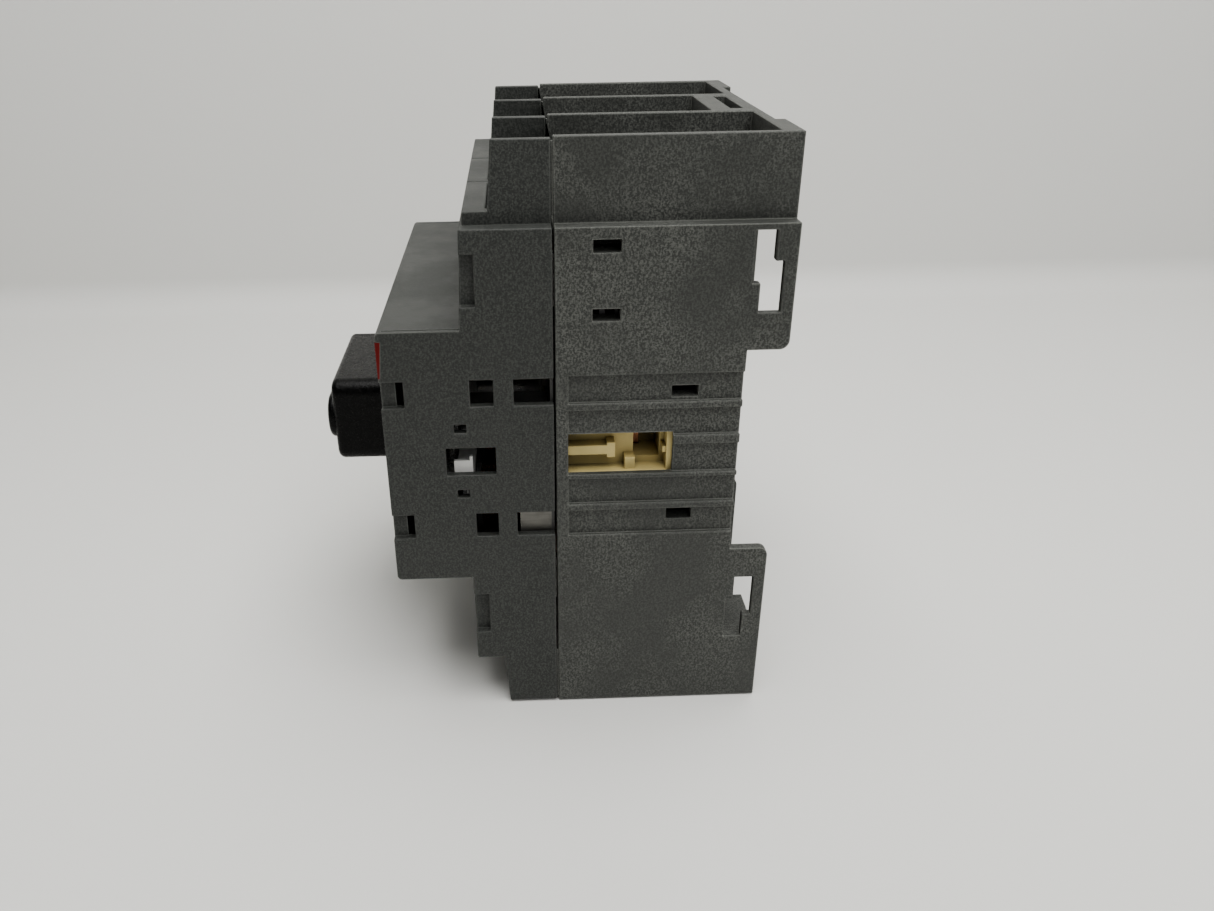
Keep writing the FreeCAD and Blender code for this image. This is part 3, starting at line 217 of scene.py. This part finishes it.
def satin_plastic(name, colour, roughness=0.42, grain=1.0, shift=0.14, edge_highlight=0.25, shine=0.3, pocket_shade=None):
    """A moulded plastic with a fine spark-eroded texture, painted highlights along its edges, and painted
    shade of a given colour in its deep corners.
    """
    look = Tree(name)
    fine = look.noise(2200, 3.0, 0.6)
    broad = look.noise(90, 3.0, 0.5)
    darker = scaled(colour, 1.0 - shift)
    lighter = scaled(colour, 1.0 + shift)
    body = look.mix(look.spread(broad, 0.35, 0.65), darker, lighter)
    # painted highlight: a lighter colour along the edges, standing in for the light that rounded edges catch
    body = look.mix(look.calc("MULTIPLY", look.edges(), edge_highlight), body, scaled(colour, 1.8, 0.03))
    if pocket_shade:
        # painted shade: the colour turns darker towards deep corners and pockets, where less light reaches
        body = look.mix(look.spread(look.openness(0.007), 0.05, 0.45), pocket_shade, body)
    rough = look.spread(look.noise(300, 3.0), 0.3, 0.7, roughness - 0.05, roughness + 0.07)
    normal = look.bump(fine, 0.00006 * grain, 0.5)
    return look.finish(body, rough, normal, Specular_IOR_Level=shine)


def metal(name, colour, roughness=0.3, along=(1.0, 0.06, 1.0), stain=0.25):
    """Rolled, drawn or plated metal with fine lines, dull spots and painted highlights along its edges."""
    look = Tree(name)
    lines = look.noise(3200, 2.0, 0.5, look.stretched(along))
    spots = look.noise(240, 4.0, 0.6)
    dull = look.spread(spots, 0.45, 0.7)
    body = look.mix(look.calc("MULTIPLY", dull, stain), colour, scaled(colour, 0.55))
    # painted highlight: a lighter colour along the edges, standing in for light caught there
    body = look.mix(look.calc("MULTIPLY", look.edges(), 0.4), body, scaled(colour, 1.35))
    rough = look.spread(lines, 0.3, 0.7, roughness - 0.07, roughness + 0.08)
    rough = look.calc("ADD", rough, look.calc("MULTIPLY", dull, 0.12))
    normal = look.bump(lines, 0.00003, 0.35)
    return look.finish(body, rough, normal, metallic=1.0)


def speckled_black(name):
    """Black handle plastic whose coarse grain breaks up the highlight."""
    look = Tree(name)
    grain = look.noise(1700, 4.0, 0.7)
    body = look.mix(look.spread(grain, 0.45, 0.7), (0.0010, 0.0010, 0.0010), (0.0035, 0.0035, 0.0034))
    rough = look.spread(look.noise(700, 3.0), 0.35, 0.65, 0.20, 0.32)
    normal = look.bump(grain, 0.00010, 0.8)
    return look.finish(body, rough, normal, Specular_IOR_Level=0.07)


def pale_surface(name, colour, marks=0.05):
    """Painted table or wall with faint blotches."""
    look = Tree(name)
    blotch = look.spread(look.noise(9, 5.0, 0.6), 0.35, 0.65)
    body = look.mix(look.calc("MULTIPLY", blotch, marks), colour, scaled(colour, 0.8))
    normal = look.bump(look.noise(420, 4.0, 0.6), 0.0002, 0.15)
    return look.finish(body, 0.62, normal, Specular_IOR_Level=0.3)


GREY_DARK = (0.020, 0.0215, 0.0190)
GREY_LIGHT = (0.086, 0.089, 0.080)
MATERIALS = {
    "rear_plastic": fibre_plastic("rear_plastic", GREY_DARK, GREY_LIGHT),
    "front_plastic": fibre_plastic("front_plastic", (0.012, 0.0135, 0.0120), (0.040, 0.0425, 0.0385),
                                   mottle=0.4, grain=0.6),
    "cover_plastic": satin_plastic("cover_plastic", (0.034, 0.036, 0.033)),
    "label_print": satin_plastic("label_print", (0.42, 0.42, 0.40), 0.35, 0.3),
    "red_plastic": satin_plastic("red_plastic", (0.085, 0.002, 0.002), 0.5, shine=0.1),
    "handle_plastic": speckled_black("handle_plastic"),
    "lock_plastic": satin_plastic("lock_plastic", (0.035, 0.035, 0.035)),
    "shaft_steel": metal("shaft_steel", (0.42, 0.42, 0.41)),
    "dial_plastic": satin_plastic("dial_plastic", (0.48, 0.47, 0.44)),
    "button_plastic": satin_plastic("button_plastic", (0.03, 0.03, 0.03)),
    "frame_steel": metal("frame_steel", (0.17, 0.165, 0.15), 0.5),
    "zinc_steel": metal("zinc_steel", (0.55, 0.55, 0.53), 0.34),
    "spring_steel": metal("spring_steel", (0.40, 0.40, 0.40), 0.28),
    "copper": metal("copper", (0.62, 0.28, 0.15), 0.32),
    "splitter_steel": metal("splitter_steel", (0.33, 0.33, 0.33), 0.38),
    # cream plastic with painted shade that darkens it inside its pockets
    "cream_plastic": satin_plastic("cream_plastic", (0.54, 0.43, 0.165), 0.5, 1.5, 0.2,
                                   pocket_shade=(0.012, 0.008, 0.003)),
    "coil_copper": metal("coil_copper", (0.50, 0.17, 0.06), 0.26, (1.0, 1.0, 0.05)),
    "bobbin_plastic": satin_plastic("bobbin_plastic", (0.10, 0.10, 0.095)),
    "mechanism_plastic": satin_plastic("mechanism_plastic", (0.05, 0.05, 0.048)),
    "plunger_steel": metal("plunger_steel", (0.48, 0.48, 0.47)),
    "bimetal": metal("bimetal", (0.50, 0.46, 0.40), 0.36),
    "heater_wire": metal("heater_wire", (0.32, 0.28, 0.25), 0.4),
    "slide_plastic": satin_plastic("slide_plastic", (0.40, 0.39, 0.36)),
    "white_plastic": satin_plastic("white_plastic", (0.72, 0.72, 0.69), 0.45, 1.0, 0.06),
}
SLOT_OF = {row["node"]: row["material_slot"] for row in frame["record"]["subparts"]}


def paint(piece, slot_name):
    """Gives a piece the one material of its slot."""
    piece.data.materials.clear()
    piece.data.materials.append(MATERIALS[slot_name])


for node_name, cad_piece in nodes.items():
    for material_slot in cad_piece.material_slots:
        material_slot.material = MATERIALS[SLOT_OF[node_name]]


# ------------------------------------------------------------------ softened mouldings
SAME_POINT = 0.002 * MM
SAME_PLANE = math.radians(0.8)
SHALLOWEST_EDGE = math.radians(38)
STEEPEST_EDGE = math.radians(140)
SHARP_ANGLE = math.radians(50)
SQUARE_ON = math.cos(math.radians(6))


def can_be_rounded(edge, shortest):
    """Whether an edge points outwards and has room for rounding beside all its neighbours."""
    if len(edge.link_faces) != 2 or not edge.is_convex or edge.calc_length() < shortest:
        return False
    if not SHALLOWEST_EDGE < edge.calc_face_angle() < STEEPEST_EDGE:
        return False
    around = {other for vertex in edge.verts for other in vertex.link_edges}
    return min(other.calc_length() for other in around) >= shortest


def softened(node_name, name, body, width):
    """A copy of a CAD node whose outer edges are rounded, as a mould leaves them."""
    mesh = nodes[node_name].data.copy()
    mesh.name = name
    stored_normals = mesh.attributes.get("custom_normal")
    if stored_normals:
        mesh.attributes.remove(stored_normals)
    shape = bmesh.new()
    shape.from_mesh(mesh)
    bmesh.ops.remove_doubles(shape, verts=shape.verts, dist=SAME_POINT)
    bmesh.ops.dissolve_limit(shape, angle_limit=SAME_PLANE, verts=shape.verts, edges=shape.edges)
    weights = shape.edges.layers.float.new("bevel_weight_edge")
    for edge in shape.edges:
        if can_be_rounded(edge, shortest=2.6 * width):
            edge[weights] = 1.0
    shape.to_mesh(mesh)
    shape.free()
    piece = bpy.data.objects.new(name, mesh)
    bpy.context.collection.objects.link(piece)
    bevel = piece.modifiers.new("rounding", "BEVEL")
    bevel.limit_method = "WEIGHT"
    bevel.width = width
    bevel.segments = 2
    bevel.use_clamp_overlap = False
    bevel.harden_normals = False
    bevel.miter_outer = "MITER_ARC"
    bpy.context.view_layer.update()
    done = bpy.data.meshes.new_from_object(piece.evaluated_get(bpy.context.evaluated_depsgraph_get()))
    piece.modifiers.clear()
    piece.data = done
    done.name = name
    done.set_sharp_from_angle(angle=SHARP_ANGLE)
    for face in done.polygons:
        face.use_smooth = max(abs(part) for part in face.normal) < SQUARE_ON
    paint(piece, SLOT_OF[node_name])
    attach(piece, body)
    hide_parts(node_name)


softened("rear_housing", "rear_housing_moulding", "housing", 0.18 * MM)
softened("front_shell", "front_shell_moulding", "housing", 0.18 * MM)
softened("front_cover", "front_cover_moulding", "housing", 0.15 * MM)
softened("contact_carrier", "contact_carrier_moulding", "carrier", 0.12 * MM)
softened("auxiliary_driver", "auxiliary_driver_moulding", "driver", 0.12 * MM)


# ------------------------------------------------------------------ spring copies
def shortening_coil(node_name, name, middle_x=None, reach=8 * MM):
    """A copy of a spring, or of the one coil near middle_x, attached to the housing."""
    mesh = nodes[node_name].data.copy()
    mesh.name = name
    if middle_x is not None:
        shape = bmesh.new()
        shape.from_mesh(mesh)
        others = [vertex for vertex in shape.verts if abs(vertex.co.x - middle_x) > reach]
        bmesh.ops.delete(shape, geom=others, context="VERTS")
        shape.to_mesh(mesh)
        shape.free()
    piece = bpy.data.objects.new(name, mesh)
    bpy.context.collection.objects.link(piece)
    paint(piece, SLOT_OF[node_name])
    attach(piece, "housing")
    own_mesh(piece)
    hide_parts(node_name)


for pole in (1, 2, 3):
    shortening_coil("plunger_springs", f"plunger_spring_{pole}",
                    (pole - 2) * POLE_PITCH)
spring_low, spring_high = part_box("main_spring")
shortening_coil("main_spring", "latch_spring")


# ------------------------------------------------------------------ printed marks on the front
def printed(name, body, slot_name, depth, outlines):
    """Thin ink shapes on a face that looks forward; each outline is a list of (x, z) in millimetres."""
    ink = 0.05
    shape = bmesh.new()
    for outline in outlines:
        back = [shape.verts.new((x * MM, (depth + ink) * MM, z * MM)) for x, z in outline]
        front = [shape.verts.new((x * MM, (depth - ink) * MM, z * MM)) for x, z in outline]
        shape.faces.new(front)
        shape.faces.new(list(reversed(back)))
        for index, corner in enumerate(front):
            following = (index + 1) % len(front)
            shape.faces.new((corner, back[index], back[following], front[following]))
    bmesh.ops.recalc_face_normals(shape, faces=shape.faces)
    mesh = bpy.data.meshes.new(name)
    shape.to_mesh(mesh)
    shape.free()
    piece = bpy.data.objects.new(name, mesh)
    bpy.context.collection.objects.link(piece)
    paint(piece, slot_name)
    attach(piece, body)


def bar(x, z, wide, tall):
    """An upright rectangle around (x, z)."""
    return [(x - wide / 2, z - tall / 2), (x + wide / 2, z - tall / 2),
            (x + wide / 2, z + tall / 2), (x - wide / 2, z + tall / 2)]


def ray_bar(x, z, near, far, wide, degrees):
    """A bar that points away from (x, z), between two distances from it."""
    turn = math.radians(degrees)
    out = (math.cos(turn), math.sin(turn))
    across = (-out[1] * wide / 2, out[0] * wide / 2)
    return [(x + out[0] * reach + sign * across[0], z + out[1] * reach + sign * across[1])
            for reach, sign in ((near, -1), (far, -1), (far, 1), (near, 1))]


COVER_FACE_Y = -57.5
HANDLE_FACE_Y = -70.8
HANDLE_AXIS_Z = -2.2
DIAL_CENTRE = (-22.5, -10.5)
dial_ticks = [ray_bar(*DIAL_CENTRE, 5.7, 6.9 if step % 5 else 7.4, 0.28, 225 - 27 * step)
              for step in range(11)]
ring = [ray_bar(-17.3, HANDLE_AXIS_Z, 0.85, 1.25, 0.62, 30 * step) for step in range(12)]
printed("dial_scale", "housing", "label_print", COVER_FACE_Y, dial_ticks)
printed("off_mark", "housing", "label_print", COVER_FACE_Y, ring)
printed("on_mark", "housing", "label_print", COVER_FACE_Y, [bar(0.0, 9.5, 0.5, 2.3)])
printed("handle_pointer", "handle", "label_print", HANDLE_FACE_Y, [bar(-9.6, HANDLE_AXIS_Z, 5.6, 0.9)])
label_rows = [bar(-21.0, 16.6, 13.0, 1.1), bar(-23.0, 14.4, 9.0, 0.6), bar(-24.5, 13.0, 6.0, 0.6),
              bar(-5.0, 16.6, 6.0, 0.6), bar(-4.0, 15.2, 8.0, 0.6), bar(-6.0, 13.0, 4.0, 0.6)]
printed("label_lines", "housing", "lock_plastic", COVER_FACE_Y, label_rows)
button_mark = [ray_bar(25.5, -14.5, 3.6, 4.6, 0.5, quarter) for quarter in (0, 180)]
printed("button_mark", "housing", "label_print", COVER_FACE_Y, button_mark)


# ------------------------------------------------------------------ surroundings and light
def make_stage():
    """A pale floor that the breaker stands on, and a pale wall behind it."""
    floor_z = cad_low.z - 0.0002
    wall_x = -0.205
    reach = 1.2
    bend = 0.012
    steps = 8
    profile = [(reach, floor_z)]
    for step in range(steps + 1):
        angle = math.pi / 2 * step / steps
        profile.append((wall_x + bend * (1 - math.sin(angle)), floor_z + bend * (1 - math.cos(angle))))
    profile.append((wall_x, 0.9))
    shape = bmesh.new()
    rows = [[shape.verts.new((x, y, z)) for y in (-reach, reach)] for x, z in profile]
    for low, high in zip(rows, rows[1:]):
        shape.faces.new((low[0], low[1], high[1], high[0]))
    mesh = bpy.data.meshes.new("floor")
    shape.normal_update()
    shape.to_mesh(mesh)
    shape.free()
    for face in mesh.polygons:
        face.use_smooth = True
    floor = bpy.data.objects.new("floor", mesh)
    bpy.context.collection.objects.link(floor)
    mesh.materials.append(pale_surface("pale_paint", (0.68, 0.68, 0.655)))


def area_light(name, place, target, size, power, colour=(1.0, 1.0, 1.0)):
    """A rectangular lamp at one place that shines towards another."""
    data = bpy.data.lights.new(name, "AREA")
    data.shape = "RECTANGLE"
    data.size, data.size_y = size
    data.energy = power
    data.color = colour
    light = bpy.data.objects.new(name, data)
    bpy.context.collection.objects.link(light)
    light.location = place
    light.rotation_mode = "QUATERNION"
    light.rotation_quaternion = (Vector(target) - Vector(place)).to_track_quat("-Z", "Y")


def make_light():
    """A faint even sky, a lamp overhead and a weaker one high at the breaker's right."""
    world = bpy.data.worlds.new("studio")
    bpy.context.scene.world = world
    world.use_nodes = True
    world.node_tree.nodes["Background"].inputs["Color"].default_value = (1.0, 0.99, 0.97, 1.0)
    world.node_tree.nodes["Background"].inputs["Strength"].default_value = 0.10
    area_light("overhead", (0.10, 0.02, 0.50), (0.0, 0.0, -0.05), (0.45, 0.45), 5.6, (1.0, 0.99, 0.97))
    area_light("side_fill", (0.55, 0.20, 0.45), (0.0, 0.0, 0.0), (0.4, 0.4), 1.4)


make_stage()
make_light()
